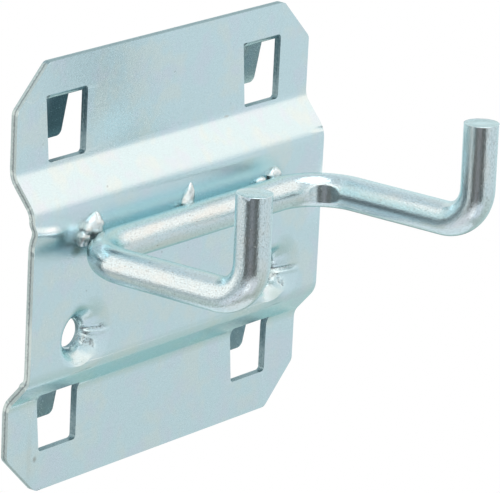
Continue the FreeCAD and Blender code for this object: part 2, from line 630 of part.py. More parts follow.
# Weld beads in the upper corner between bar and plate, one solid each: drops that run up the
# plate to a point
bead_places = {
    "left_bead": "sizes.prong_shift - sizes.prong_spacing / 2 + sizes.left_bead_inset",
    "middle_bead": "sizes.prong_shift - sizes.middle_bead_offset",
    "right_bead": "sizes.prong_shift + sizes.prong_spacing / 2 - sizes.right_bead_inset",
}
beads = []
for bead, place in bead_places.items():
    form = doc.addObject("PartDesign::Body", bead + "_form")
    radius, foot, tip = size[bead] / 2, size["bead_foot"], size["bead_tip"]
    belly, top = size[bead + "_belly"], size[bead + "_rise"]
    turn = math.atan2(belly - top + tip, radius) + math.acos(
        tip / math.hypot(radius, top - tip - belly))
    flank_end = (tip * math.cos(turn), top - tip + tip * math.sin(turn))
    half = add_sketch(form, bead + "_section", "XZ_Plane")
    base = add_line(half, (0, foot), (radius, foot))
    side = add_line(half, (radius, foot), (radius, belly))
    flank = add_line(half, (radius, belly), flank_end)
    point = add_bend(half, (0, top - tip), tip, math.degrees(turn), 90)
    axis = add_line(half, (0, top), (0, foot))
    join(half, "Coincident", base, 2, side, 1)
    join(half, "Coincident", side, 2, flank, 1)
    join(half, "Tangent", flank, 2, point, 1)
    join(half, "Coincident", point, 2, axis, 1)
    join(half, "Coincident", axis, 2, base, 1)
    half.addConstraint(Sketcher.Constraint("PointOnObject", point, 3, -2))
    half.addConstraint(Sketcher.Constraint("PointOnObject", base, 1, -2))
    straight(half, "Horizontal", (base,))
    straight(half, "Vertical", (side, axis))
    hold(half, "radius", f"sizes.{bead} / 2", "DistanceX", base, 1, base, 2)
    hold(half, "foot", "sizes.bead_foot", "DistanceY", -1, 1, base, 1)
    hold(half, "belly", f"sizes.{bead}_belly", "DistanceY", -1, 1, side, 2)
    hold(half, "rise", f"sizes.{bead}_rise", "DistanceY", -1, 1, point, 2)
    hold(half, "tip", "sizes.bead_tip", "Radius", point)
    drop = add_feature(form, "PartDesign::Revolution", bead + "_drop")
    drop.Profile = half
    drop.ReferenceAxis = (half, ["V_Axis"])
    drop.Angle = 180
    doc.recompute()
    if drop.Shape.BoundBox.YMax > radius / 2:
        drop.Reversed = True
    form.Tip = drop
    form.setExpression("Placement.Base.x", place)
    form.setExpression("Placement.Base.y", "-(sizes.joggle + sizes.sheet)")
    form.setExpression("Placement.Base.z", "sizes.bar_height")
    fitted = doc.addObject("Part::Cut", bead)
    fitted.Base = form
    fitted.Tool = rod
    beads.append(fitted)
welds = doc.addObject("Part::Compound", "weld_beads")
welds.Label = "weld_beads"
welds.Links = beads

doc.recompute()

# Checks, then the files
failed = [o.Label for o in doc.Objects if {"Invalid", "Error"} & set(o.State)]
if failed:
    raise RuntimeError("failed objects: " + ", ".join(failed))
for sketch in doc.findObjects("Sketcher::SketchObject"):
    if sketch.solve() != 0:
        raise RuntimeError("sketch does not solve: " + sketch.Label)
parts = [plate, rod, welds]
for part in parts:
    if part.Shape.isNull() or not part.Shape.isValid():
        raise RuntimeError("bad shape: " + part.Label)
os.makedirs("parts", exist_ok=True)
for part in parts:
    part.Shape.exportStep(f"parts/{part.Label}.step")
    box = part.Shape.optimalBoundingBox(False, False)
    print(part.Label, "solids", len(part.Shape.Solids), "volume", round(part.Shape.Volume, 2),
          "box", [round(v, 2) for v in (box.XMin, box.YMin, box.ZMin, box.XMax, box.YMax, box.ZMax)])
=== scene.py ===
"""Double pegboard hook: its looks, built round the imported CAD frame. Sizes are in millimetres."""
import math
import random

import bmesh
import bpy
from mathutils import Matrix, Vector, noise


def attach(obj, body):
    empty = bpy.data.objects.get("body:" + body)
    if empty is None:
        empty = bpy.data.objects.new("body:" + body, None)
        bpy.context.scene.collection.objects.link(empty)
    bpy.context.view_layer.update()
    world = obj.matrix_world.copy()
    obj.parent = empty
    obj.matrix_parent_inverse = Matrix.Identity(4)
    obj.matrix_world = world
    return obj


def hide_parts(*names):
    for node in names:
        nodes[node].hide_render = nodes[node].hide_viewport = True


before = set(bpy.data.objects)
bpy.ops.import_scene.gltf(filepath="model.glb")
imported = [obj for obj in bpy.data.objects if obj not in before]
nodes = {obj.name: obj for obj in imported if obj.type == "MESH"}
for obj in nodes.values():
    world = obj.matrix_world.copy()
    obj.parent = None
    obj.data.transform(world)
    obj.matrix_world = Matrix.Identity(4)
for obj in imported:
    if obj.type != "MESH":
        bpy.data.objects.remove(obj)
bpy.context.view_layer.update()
MM = 0.001

# Camera: where the fitted lens stood
AZIMUTH = math.radians(51.442)
ELEVATION = math.radians(17.641)
ROLL = math.radians(2.874)
CAMERA_PLACE = Vector((-384.543, -321.994, 155.452)) * MM
SENSOR_WIDTH = 36.0
LENS = 294.47
CLIP_START = 0.01

# Studio: the room's colour by degrees above the horizon
ROOM_BY_HEIGHT = (
    (-90, (0.45, 0.50, 0.50)),
    (-48, (0.62, 0.69, 0.66)),
    (-34, (0.72, 0.78, 0.76)),
    (-22, (0.75, 0.81, 0.82)),
    (-15, (0.84, 0.90, 0.93)),
    (0, (0.84, 0.90, 0.93)),
    (20, (1.04, 1.07, 1.07)),
    (50, (0.78, 0.87, 0.92)),
    (90, (0.70, 0.80, 0.86)),
)
# Its fields: degrees round the part from the camera's side, degrees up, softness, colour
ROOM_FIELDS = (
    ((80, 138), (12, 52), 6, (1.38, 1.28, 1.22)),
    ((-112, -56), (-15, 46), 2, (1.36, 1.30, 1.25)),
    ((-112, -56), (-30, -21), 2, (0.46, 0.50, 0.52)),
    ((-56, 40), (-2, 50), 2, (1.60, 1.55, 1.50)),
    ((-75, 60), (-62, -34), 5, (0.88, 0.91, 0.98)),
    ((-50, 34), (-32, -2), 2, (0.16, 0.17, 0.17)),
    ((-22, 4), (-32, -2), 5, (0.30, 0.30, 0.32)),
    ((-13, 1), (-52, -43), 3, (2.2, 2.2, 2.2)),
    ((166, 194), (-36, -22), 3, (0.07, 0.13, 0.15)),
)
# Floor and lamp
FLOOR_DROP = 150.0
FLOOR_RADIUS = 90.0
FLOOR_PLACE = (20.0, 10.0)
FLOOR_COLOUR = (0.78, 0.80, 0.82)
FLOOR_ROUGHNESS = 0.9
LAMP_PLACE = Vector((50, -150, 750)) * MM
LAMP_SIDES = (0.7, 0.5)
LAMP_POWER = 2.0

# Rod, as in the frame
ROD = 4.5
BAR_HEIGHT = 0.6
BAR_DEPTH = -6.7
PRONG_SPACING = 45.8
PRONG_SHIFT = 0.7
PRONG_REACH = 35.6
PRONG_RISE = math.radians(0.9)
SIDE_BEND = 7.0
TIP_BEND = 5.0
TIP_HEIGHT = 13.6
ROD_TURN = Matrix.Rotation(-PRONG_RISE, 4, "X")
ROD_SHIFT = Vector((PRONG_SHIFT, BAR_DEPTH, BAR_HEIGHT))
# Its unevenness and its mesh
LEFT_TOE_IN = 0.4
ROD_WAVES = 0.012
ROD_SIDES = 72
ROD_STEP = 0.5
BEND_STEP = math.radians(2.0)
# Rings of its sheared ends: share of the radius, rise
END_RINGS = ((1.0, 0.0), (0.985, 0.04), (0.955, 0.05), (0.92, 0.02), (0.7, 0.0), (0.4, 0.0))
END_LEAN = 0.02
END_WAVES = 0.04
BURR = 0.03
BURR_START = 0.95
# Round tool that pressed a flat into the inner side of the side bends
TOOL_RADIUS = 2.7
TOOL_DEPTH = 0.45
TOOL_TURN = math.radians(34)

# Plate, as in the frame
PLATE_FRONT = -4.45
HOLE_X = 19.0
HOLE_Z = -11.4
HOLE_RADIUS = 1.9
DIMPLE_RADIUS = 4.2
DIMPLE_DEPTH = 1.814
# Its lip is a round about a point outside the dimple; a cone of 45 degrees follows inside it
LIP_ROUND = 1.9
LIP_CENTRE = 4.53
LIP_CENTRE_DEPTH = 1.871
CONE_RADIUS = 3.186
CONE_POINT_DEPTH = 3.714
# Heights from and to, and reach to either side of the holes' line
WINDOW_SPANS = ((10.8, 20.2), (-27.2, -18.6))
WINDOW_SIDE = 4.9

# What the pressing and shearing left on the plate: drawn-out side of the dimples, broken rims
WIDE_REACH = 5.7
WIDE_FALL = 1.6
EDGE_BREAK = 0.09
WINDOW_BREAK = 0.24
HOLE_BREAK = 0.45
HOLE_BREAK_WIDTH = 0.55
HOLE_FRONT = -2.3
# The dimples' heights from and to, and how far back they reach
DIMPLE_HEIGHTS = (-16.2, -6.2)
DIMPLE_BACK = -1.2
# Finely divided parts of the plate: x from and to, z from and to, step
FINE_PARTS = (
    (-23.9, -12.7, -16.1, -6.3, 0.22),
    (14.1, 25.3, -16.1, -6.3, 0.22),
    (-28.6, -21.5, 0.6, 6.3, 0.3),
)
# Creases beside the dimples: start, end, depth (into the panel positive), width, height above
LEFT_CREASES = (
    ((-17.3, -11.08), (-14.08, -11.17), 0.22, 0.20, 0.0),
    ((-16.6, -11.10), (-14.3, -11.17), -0.12, 0.26, -0.45),
    ((-16.85, -12.20), (-17.55, -13.00), -0.20, 0.20, 0.0),
    ((-16.3, -12.60), (-15.9, -13.70), 0.10, 0.24, 0.0),
)
RIGHT_CREASES = (
    ((20.9, -11.66), (24.0, -11.34), 0.22, 0.24, 0.0),
    ((21.2, -11.66), (24.1, -11.34), -0.12, 0.28, -0.48),
    ((20.9, -12.30), (20.3, -13.10), 0.16, 0.22, 0.0),
    ((21.5, -12.80), (21.6, -13.60), 0.10, 0.22, 0.0),
    ((22.0, -13.20), (21.9, -14.00), 0.07, 0.22, 0.0),
)
# Low ridge of the plate left of the weld: start, end, rise, width above and below its crest
RIDGE = ((-28.4, 4.15), (-22.2, 3.15), 0.50, 0.62, 1.2)
# The part that holds it: its right end, its heights from and to, its back
RIDGE_RIGHT = -21
RIDGE_HEIGHTS = (0, 6.5)
RIDGE_BACK = -3.2
# Scuffed spots in the dimples: x, z, radius
SCUFFS = ((-16.9, -12.6, 0.75), (-16.2, -13.2, 0.35), (-14.8, -10.9, 0.4), (21.0, -12.4, 0.35))
# Stained places of the zinc, and patches of painted light and shade: middle, radii, strength, colour
STAINS_AND_PAINTED_LIGHT = (
    ((-11.0, -1.1, 13.6), (5.6, 0.9, 3.6), 0.55, (0.66, 0.88, 0.95)),
    ((-24.3, -1.1, -26.8), (0.8, 0.9, 5.5), 0.30, (0.58, 0.58, 0.52)),
    ((-23.2, -1.1, -27.6), (0.5, 0.9, 0.6), 0.80, (0.36, 0.36, 0.33)),
    ((11.8, -1.6, 10.8), (0.8, 1.5, 0.25), 0.60, (0.50, 0.44, 0.38)),
    # Painted shade: a dark band under the low ridge
    ((-25.2, -4.6, 1.95), (4.8, 1.0, 1.4), 0.85, (0.24, 0.42, 0.46)),
    # Painted shadow between the rod's left bend and the plate
    ((-20.5, -4.6, 0.4), (1.5, 1.0, 1.1), 0.85, (0.24, 0.27, 0.22)),
    # Painted highlight along the low ridge
    ((-25.9, -4.8, 3.95), (2.8, 1.2, 0.8), 0.90, (0.90, 0.94, 0.95)),
    # Painted shade on the upper wall of the left dimple
    ((-19.5, -4.3, -8.0), (1.9, 1.2, 1.5), 0.80, (0.26, 0.46, 0.46)),
    # Painted shade on the lower wall of the right dimple
    ((20.2, -4.3, -14.6), (2.4, 1.3, 1.9), 0.80, (0.42, 0.55, 0.55)),
)

# Painted shade on the zinc and a darker top edge, and where: the lugs' depth from and to, the top
# edge's height
SHADE_LUG = 1.0
SHADE_HOLE = 1.2
SHADE_WINDOW = 1.0
DARK_TOP_EDGE = 0.8
LUG_FRONT = 0.4
LUG_BACK = 3.3
TOP_EDGE = 24.0

# Weld beads: middle, half width, foot, widest, top, bulge, lean of the tip, width of the foot
# as a share of the full width, seed
BEADS = (
    (-18.00, 1.70, 1.9, 2.95, 4.85, 1.40, 0.85, 0.40, 3),
    (0.50, 1.02, 2.0, 2.50, 4.90, 0.85, 0.62, 0.86, 7),
    (17.85, 1.40, 2.0, 2.60, 3.60, 1.00, 0.30, 0.80, 12),
)
# Small runs of weld metal beside them
RUNS = (
    (-19.4, 0.78, 1.4, 2.00, 2.75, 0.85, 0.1, 0.80, 21),
    (-17.1, 0.45, 1.7, 2.1, 2.6, 1.7, 0.0, 0.86, 25),
    (15.2, 0.95, 2.1, 2.3, 2.75, 0.65, 0.3, 0.86, 31),
)
DROP_ROWS = 18
DROP_COLUMNS = 22
DROP_SKIRT = 0.6
DROP_SUNK = 0.12

# Limits of the meshes: what counts as a sharp edge, as facing front or back, as a cut face
SHARP_EDGE = math.radians(28)
FLAT_EDGE = math.radians(0.2)
FACING = 0.3
CUT_FACE = 0.14
FRONT_SHARE = 0.25
ACROSS = Vector((1, 0, 0))
UPWARD = Vector((0, 0, 1))


# Node helpers
def add_node(tree, kind, feeds=None, **settings):
    """A node with its settings, its unlinked values and its links."""
    node = tree.nodes.new(kind)
    for name, value in settings.items():
        setattr(node, name, value)
    for key, value in (feeds or {}).items():
        if isinstance(value, bpy.types.NodeSocket):
            tree.links.new(value, node.inputs[key])
        else:
            node.inputs[key].default_value = value
    return node


def math_node(tree, operation, *values):
    node = add_node(tree, "ShaderNodeMath", dict(enumerate(values)), operation=operation)
    return node.outputs[0]


def vector_node(tree, operation, *values, out="Vector"):
    node = add_node(tree, "ShaderNodeVectorMath", dict(enumerate(values)), operation=operation)
    return node.outputs[out]


def remap(tree, value, low, high, to_low=0.0, to_high=1.0, kind="SMOOTHSTEP"):
    node = add_node(tree, "ShaderNodeMapRange", {
        "Value": value, "From Min": low, "From Max": high,
        "To Min": to_low, "To Max": to_high}, interpolation_type=kind)
    return node.outputs["Result"]


def mix_colours(tree, factor, first, second):
    node = add_node(tree, "ShaderNodeMix", data_type="RGBA")
    for index, value in ((0, factor), (6, first), (7, second)):
        if isinstance(value, bpy.types.NodeSocket):
            tree.links.new(value, node.inputs[index])
        else:
            node.inputs[index].default_value = value if index == 0 else (*value, 1)
    return node.outputs[2]


def lay_over(tree, colour, mask, strength, second):
    """The colour with a second one laid over it by the mask, at most with that strength."""
    return mix_colours(tree, math_node(tree, "MULTIPLY", mask, strength), colour, second)


def attribute(tree, name, out="Fac"):
    return add_node(tree, "ShaderNodeAttribute", attribute_name=name).outputs[out]


def new_group(name, inputs, outputs):
    """A shader node group; its inputs are (name, kind, value), its outputs (name, kind)."""
    tree = bpy.data.node_groups.new(name, "ShaderNodeTree")
    for label, kind, value in inputs:
        item = tree.interface.new_socket(label, in_out="INPUT", socket_type="NodeSocket" + kind)
        if value is not None:
            item.default_value = value
    for label, kind in outputs:
        tree.interface.new_socket(label, in_out="OUTPUT", socket_type="NodeSocket" + kind)
    source = tree.nodes.new("NodeGroupInput").outputs
    result = tree.nodes.new("NodeGroupOutput").inputs
    return tree, source, result


def use_group(tree, group, **feeds):
    """The outputs of a group node; its inputs are given by their names in lower case."""
    node = tree.nodes.new("ShaderNodeGroup")
    node.node_tree = group
    for label, value in feeds.items():
        target = node.inputs[label.capitalize()]
        if isinstance(value, bpy.types.NodeSocket):
            tree.links.new(value, target)
        else:
            target.default_value = value
    return node.outputs


# Shared surface effects
def make_grain():
    """Fine uneven grain, 0 to 1; Stretch draws it out along one axis."""
    tree, source, result = new_group(
        "fine_grain",
        (("Point", "Vector", None), ("Size", "Float", 0.3), ("Stretch", "Vector", (1, 1, 1))),
        (("Grain", "Float"),))
    scaled = vector_node(tree, "DIVIDE", source["Point"], source["Stretch"])
    fine = add_node(tree, "ShaderNodeTexNoise", {
        "Vector": scaled, "Scale": math_node(tree, "DIVIDE", 1.0, source["Size"]),
        "Detail": 3.0, "Roughness": 0.65})
    tree.links.new(remap(tree, fine.outputs["Fac"], 0.3, 0.7, kind="LINEAR"), result["Grain"])
    return tree


def make_blotches():
    """Two soft sets of patches, such as passivation leaves on zinc."""
    tree, source, result = new_group(
        "soft_blotches",
        (("Point", "Vector", None), ("Size", "Float", 3.0), ("Stretch", "Vector", (1, 1, 1))),
        (("Warm", "Float"), ("Cold", "Float")))
    scaled = vector_node(tree, "DIVIDE", source["Point"], source["Stretch"])
    for output, offset, low, high in (("Warm", (3.1, 7.7, 1.3), 0.46, 0.66),
                                      ("Cold", (11.9, 2.3, 5.1), 0.48, 0.68)):
        moved = vector_node(tree, "ADD", scaled, offset)
        cloud = add_node(tree, "ShaderNodeTexNoise", {
            "Vector": moved, "Scale": math_node(tree, "DIVIDE", 1.0, source["Size"]),
            "Detail": 2.5, "Roughness": 0.55})
        tree.links.new(remap(tree, cloud.outputs["Fac"], low, high), result[output])
    return tree


def make_specks():
    """Small scattered specks: a mask that is 1 inside a speck."""
    tree, source, result = new_group(
        "scattered_specks",
        (("Point", "Vector", None), ("Spacing", "Float", 1.0), ("Share", "Float", 0.3),
         ("Radius", "Float", 0.2), ("Stretch", "Vector", (1, 1, 1))),
        (("Specks", "Float"),))
    scaled = vector_node(tree, "DIVIDE", source["Point"], source["Stretch"])
    wobble = add_node(tree, "ShaderNodeTexNoise", {
        "Vector": scaled, "Scale": math_node(tree, "DIVIDE", 2.5, source["Spacing"])})
    bent = vector_node(tree, "MULTIPLY_ADD", wobble.outputs["Color"], (0.5, 0.5, 0.5), scaled)
    cells = add_node(tree, "ShaderNodeTexVoronoi", {
        "Vector": bent, "Scale": math_node(tree, "DIVIDE", 1.0, source["Spacing"])})
    inner = math_node(tree, "MULTIPLY", source["Radius"], 0.5)
    inside = remap(tree, cells.outputs["Distance"], inner, source["Radius"], 1.0, 0.0,
                   kind="LINEAR")
    chance = add_node(tree, "ShaderNodeSeparateColor", {"Color": cells.outputs["Color"]})
    chosen = math_node(tree, "LESS_THAN", chance.outputs[0], source["Share"])
    tree.links.new(math_node(tree, "MULTIPLY", inside, chosen), result["Specks"])
    return tree


def make_patch():
    """A soft oval patch at one place of the part."""
    tree, source, result = new_group(
        "soft_patch",
        (("Point", "Vector", None), ("Centre", "Vector", (0, 0, 0)), ("Radii", "Vector", (1, 1, 1))),
        (("Mask", "Float"),))
    off = vector_node(tree, "SUBTRACT", source["Point"], source["Centre"])
    off = vector_node(tree, "DIVIDE", off, source["Radii"])
    away = vector_node(tree, "LENGTH", off, out="Value")
    tree.links.new(remap(tree, away, 0.15, 1.0, 1.0, 0.0), result["Mask"])
    return tree


def make_scratches():
    """Fine short scratches in three directions."""
    tree, source, result = new_group(
        "short_scratches",
        (("Point", "Vector", None), ("Spacing", "Float", 2.0), ("Share", "Float", 0.4)),
        (("Scratches", "Float"),))
    total = 0.0
    for turn, seed in ((0.35, 4.0), (1.2, 9.0), (2.3, 15.0)):
        turned = add_node(tree, "ShaderNodeVectorRotate", {
            "Vector": source["Point"], "Axis": (0, 1, 0), "Angle": turn})
        moved = vector_node(tree, "MULTIPLY_ADD", turned.outputs[0], (1, 0, 0.09),
                            (seed, 0, seed))
        cells = add_node(tree, "ShaderNodeTexVoronoi", {
            "Vector": moved, "Scale": math_node(tree, "DIVIDE", 1.0, source["Spacing"])})
        line = remap(tree, cells.outputs["Distance"], 0.015, 0.04, 1.0, 0.0)
        chance = add_node(tree, "ShaderNodeSeparateColor", {"Color": cells.outputs["Color"]})
        chosen = math_node(tree, "LESS_THAN", chance.outputs[1], source["Share"])
        line = math_node(tree, "MULTIPLY", line, chosen)
        total = math_node(tree, "MAXIMUM", line, total)
    tree.links.new(total, result["Scratches"])
    return tree


# Studio
def set_camera():
    across = Vector((math.cos(AZIMUTH), -math.sin(AZIMUTH), 0))
    ahead = Vector((math.sin(AZIMUTH) * math.cos(ELEVATION),
                    math.cos(AZIMUTH) * math.cos(ELEVATION), -math.sin(ELEVATION)))
    upward = across.cross(ahead)
    right = math.cos(ROLL) * across + math.sin(ROLL) * upward
    top = math.cos(ROLL) * upward - math.sin(ROLL) * across
    data = bpy.data.cameras.new("camera")
    data.lens = LENS
    data.sensor_width = SENSOR_WIDTH
    data.sensor_fit = "HORIZONTAL"
    data.clip_start = CLIP_START
    camera = bpy.data.objects.new("camera", data)
    turn = Matrix((right, top, -ahead)).transposed()
    camera.matrix_world = Matrix.Translation(CAMERA_PLACE) @ turn.to_4x4()
    bpy.context.scene.collection.objects.link(camera)
    bpy.context.scene.camera = camera


def field_mask(tree, turn, height, sides, heights, soft):
    """1 inside a field of the room, which may reach over the half turn behind the part."""
    middle, half = (sides[0] + sides[1]) / 2, (sides[1] - sides[0]) / 2
    off = math_node(tree, "ABSOLUTE", math_node(
        tree, "SUBTRACT", math_node(tree, "WRAP", turn, middle + 180, middle - 180), middle))
    mask = remap(tree, off, half - soft, half + soft, 1, 0)
    for low, high in ((heights[0] - soft, heights[0] + soft), (heights[1] + soft, heights[1] - soft)):
        mask = math_node(tree, "MULTIPLY", mask, remap(tree, height, low, high))
    return mask


def set_world():
    """A light room, fixed in place: a bright field on either side, dim and greenish below, a
    darker opening on the side the photo was taken from. The metal mirrors all of it; a straight
    view past the part sees it as plain white."""
    world = bpy.data.worlds.new("studio")
    bpy.context.scene.world = world
    world.use_nodes = True
    tree = world.node_tree
    tree.nodes.clear()
    ray = add_node(tree, "ShaderNodeTexCoord").outputs["Generated"]
    towards = (-math.sin(AZIMUTH), -math.cos(AZIMUTH), 0)
    sideways = (math.cos(AZIMUTH), -math.sin(AZIMUTH), 0)
    front = vector_node(tree, "DOT_PRODUCT", ray, towards, out="Value")
    side = vector_node(tree, "DOT_PRODUCT", ray, sideways, out="Value")
    rise = add_node(tree, "ShaderNodeSeparateXYZ", {0: ray}).outputs["Z"]
    turn = math_node(tree, "DEGREES", math_node(tree, "ARCTAN2", side, front))
    height = math_node(tree, "DEGREES", math_node(tree, "ARCSINE", rise))

    ramp = add_node(tree, "ShaderNodeValToRGB",
                    {"Fac": remap(tree, height, -90, 90, kind="LINEAR")})
    elements = ramp.color_ramp.elements
    while len(elements) < len(ROOM_BY_HEIGHT):
        elements.new(0.5)
    for element, (degrees, colour) in zip(elements, ROOM_BY_HEIGHT):
        element.position = (degrees + 90) / 180
        element.color = (*colour, 1)
    room = ramp.outputs["Color"]
    for sides, heights, soft, colour in ROOM_FIELDS:
        room = mix_colours(tree, field_mask(tree, turn, height, sides, heights, soft), room, colour)
    light = add_node(tree, "ShaderNodeLightPath")
    direct = math_node(tree, "MAXIMUM", light.outputs["Is Camera Ray"],
                       light.outputs["Is Transmission Ray"])
    shown = mix_colours(tree, direct, room, (1, 1, 1))
    background = add_node(tree, "ShaderNodeBackground", {"Color": shown, "Strength": 1.0})
    out = add_node(tree, "ShaderNodeOutputWorld")
    tree.links.new(background.outputs[0], out.inputs["Surface"])


def add_floor():
    """A pale round table top below the part."""
    bpy.ops.mesh.primitive_circle_add(
        vertices=96, radius=FLOOR_RADIUS * MM, fill_type="NGON",
        location=(FLOOR_PLACE[0] * MM, FLOOR_PLACE[1] * MM, -FLOOR_DROP * MM))
    floor = bpy.context.object
    floor.name = "floor"
    material = bpy.data.materials.new("pale_floor")
    material.use_nodes = True
    shader = material.node_tree.nodes["Principled BSDF"]
    shader.inputs["Base Color"].default_value = (*FLOOR_COLOUR, 1)
    shader.inputs["Roughness"].default_value = FLOOR_ROUGHNESS
    floor.data.materials.append(material)


def add_lamp():
    """A soft lamp above the part, turned towards it."""
    data = bpy.data.lights.new("top_softbox", "AREA")
    data.shape = "RECTANGLE"
    data.size, data.size_y = LAMP_SIDES
    data.energy = LAMP_POWER
    lamp = bpy.data.objects.new("top_softbox", data)
    lamp.location = LAMP_PLACE
    lamp.rotation_euler = (-LAMP_PLACE).to_track_quat("-Z", "Y").to_euler()
    bpy.context.scene.collection.objects.link(lamp)


# Meshes
def finish_piece(mesh, name, sharp_angle):
    """The mesh as a piece with smooth faces, apart from edges sharper than the angle."""
    for face in mesh.faces:
        face.smooth = True
    data = bpy.data.meshes.new(name)
    mesh.to_mesh(data)
    mesh.free()
    data.set_sharp_from_angle(angle=math.radians(sharp_angle))
    piece = bpy.data.objects.new(name, data)
    bpy.context.scene.collection.objects.link(piece)
    return piece


def line_distance(x, z, start, end):
    """How far along the line (0 to 1) and how far above it, in millimetres."""
    along = Vector((end[0] - start[0], end[1] - start[1]))
    off = Vector((x - start[0], z - start[1]))
    share = off.dot(along) / along.length_squared
    above = (along.x * off.y - along.y * off.x) / along.length
    return share, above


def smooth_step(value, low, high):
    share = max(0.0, min(1.0, (value - low) / (high - low)))
    return share * share * (3 - 2 * share)


def even_depth(radius):
    """Depth of the frame's dimple below the plate's front."""
    if radius > DIMPLE_RADIUS:
        return 0.0
    if radius > CONE_RADIUS:
        return LIP_CENTRE_DEPTH - math.sqrt(LIP_ROUND ** 2 - (LIP_CENTRE - radius) ** 2)
    return min(DIMPLE_DEPTH, CONE_POINT_DEPTH - radius)


def wide_depth(radius):
    """Depth of the drawn-out right side of the dimple, which slopes more gently."""
    share = max(0.0, min(1.0, (WIDE_REACH - radius) / (WIDE_REACH - HOLE_RADIUS)))
    return DIMPLE_DEPTH * share ** WIDE_FALL


def in_dimples(place):
    """True in the strip of the plate that holds the dimples."""
    return place.y < DIMPLE_BACK and DIMPLE_HEIGHTS[0] < place.z < DIMPLE_HEIGHTS[1]


def by_ridge(place):
    """True in the part of the plate's middle that holds the low ridge."""
    return (place.y < RIDGE_BACK and place.x < RIDGE_RIGHT
            and RIDGE_HEIGHTS[0] < place.z < RIDGE_HEIGHTS[1])


def crease_share(x, z, crease):
    """1 on the crease's line, and less beside it and at its ends."""
    start, end, _, width, above = crease
    share, height = line_distance(x, z, start, end)
    fade = smooth_step(share, -0.15, 0.15) * smooth_step(share, 1.2, 0.7)
    return fade * math.exp(-((height - above) / width) ** 2)


def scuff_and_crease_shade_share(place):
    """How dark and speckled the zinc is: painted shade along the grooves of the creases, and scuffs
    in a few spots.
    """
    if not in_dimples(place):
        return 0.0
    creases = LEFT_CREASES if place.x < 0 else RIGHT_CREASES
    shares = [0.9 * crease_share(place.x, place.z, crease) for crease in creases if crease[2] > 0]
    for x, z, radius in SCUFFS:
        shares.append(math.exp(-((place.x - x) ** 2 + (place.z - z) ** 2) / radius ** 2))
    return max(shares)


def ridge_rise(x, z):
    """How far the low ridge stands out of the plate at this place."""
    start, end, rise, width_above, width_below = RIDGE
    share, height = line_distance(x, z, start, end)
    width = width_above if height > 0 else width_below
    return rise * smooth_step(share, 1.05, 0.45) * math.exp(-(height / width) ** 2)


def pressed_shape(x, z):
    """How much deeper than the frame's even dimple the pressed sheet lies at this place."""
    side = -1 if x < 0 else 1
    off = Vector((x - side * HOLE_X, z - HOLE_Z))
    radius = off.length
    shift = 0.0
    if HOLE_RADIUS < radius < WIDE_REACH:
        right = smooth_step(off.x / radius, 0.0, 0.9)
        shift += right * (wide_depth(radius) - even_depth(radius))
    clear = smooth_step(radius, HOLE_RADIUS + 0.1, HOLE_RADIUS + 0.5)
    for crease in LEFT_CREASES if side < 0 else RIGHT_CREASES:
        shift += clear * crease[2] * crease_share(x, z, crease)
    return shift


def hole_break(place):
    """How far the front rim of a screw hole is broken back."""
    radius = math.hypot(abs(place.x) - HOLE_X, place.z - HOLE_Z)
    share = max(0.0, 1 - max(0.0, radius - HOLE_RADIUS) / HOLE_BREAK_WIDTH)
    return HOLE_BREAK * share ** 2 if place.y < HOLE_FRONT else 0.0


def cut_by_planes(mesh, places, normal, chosen=None):
    """Divides the chosen faces, or all of them, along planes across the normal."""
    for place in places:
        faces = [face for face in mesh.faces if chosen is None or chosen(face)]
        edges = dict.fromkeys(edge for face in faces for edge in face.edges)
        verts = dict.fromkeys(vert for face in faces for vert in face.verts)
        bmesh.ops.bisect_plane(mesh, geom=[*faces, *edges, *verts], plane_no=normal,
                               plane_co=normal * place * MM, dist=1e-7)


def spaced(low, high, step):
    """Even places from low to high, about a step apart."""
    count = round((high - low) / step)
    return [low + (high - low) * n / count for n in range(count + 1)]


def divide_part(mesh, left, right, low, high, step):
    """Divides one part of the plate into a fine grid."""
    def inside(face):
        middle = face.calc_center_median() / MM
        return left < middle.x < right and low < middle.z < high

    cut_by_planes(mesh, (left, right), ACROSS)
    cut_by_planes(mesh, (low, high), UPWARD)
    cut_by_planes(mesh, spaced(left, right, step), ACROSS, inside)
    cut_by_planes(mesh, spaced(low, high, step), UPWARD, inside)


def at_window(place):
    return abs(abs(place.x) - HOLE_X) < WINDOW_SIDE and any(
        low < place.z < high for low, high in WINDOW_SPANS)


def window_rim(edge, through):
    """True for an edge of a window's outline on the plate's front."""
    middle = (edge.verts[0].co + edge.verts[1].co) / (2 * MM)
    return at_window(middle) and max(vert[through] for vert in edge.verts) < FRONT_SHARE


def shade_and_dark_edge_share(place, normal):
    """Painted shade: most in the holes and windows and on the upper left lug; a darker top edge."""
    if place.y > LUG_FRONT:
        upper_left = place.x < 0 < place.z
        hidden = place.y <= LUG_BACK and normal.z <= 0.5
        return SHADE_LUG if upper_left and hidden else 0.0
    if math.hypot(abs(place.x) - HOLE_X, place.z - HOLE_Z) < HOLE_RADIUS + 0.2:
        return SHADE_HOLE
    if at_window(place):
        return SHADE_WINDOW
    return DARK_TOP_EDGE if place.z > TOP_EDGE else 0.0


def mark_through(mesh, through):
    """Sets how far through the sheet each point lies, from 0 on its front to 1 on its back."""
    for vert in mesh.verts:
        facing = [face.normal.y for face in vert.link_faces]
        if min(facing) < -FACING:
            vert[through] = 0.0
        elif max(facing) > FACING:
            vert[through] = 1.0
        else:
            vert[through] = 0.5


def break_edges(mesh, through):
    """Rounds the windows' front rims, then every sharp edge."""
    for rims, offset, rounds in ((True, WINDOW_BREAK, 3), (False, EDGE_BREAK, 2)):
        sharp = [edge for edge in mesh.edges
                 if len(edge.link_faces) == 2 and edge.calc_face_angle(0) > SHARP_EDGE
                 and (window_rim(edge, through) or not rims)]
        bmesh.ops.bevel(mesh, geom=sharp, offset=offset * MM, offset_type="OFFSET",
                        segments=rounds, profile=0.5, affect="EDGES", clamp_overlap=True,
                        material=-1)
    bmesh.ops.triangulate(mesh, faces=[face for face in mesh.faces if len(face.verts) > 4])


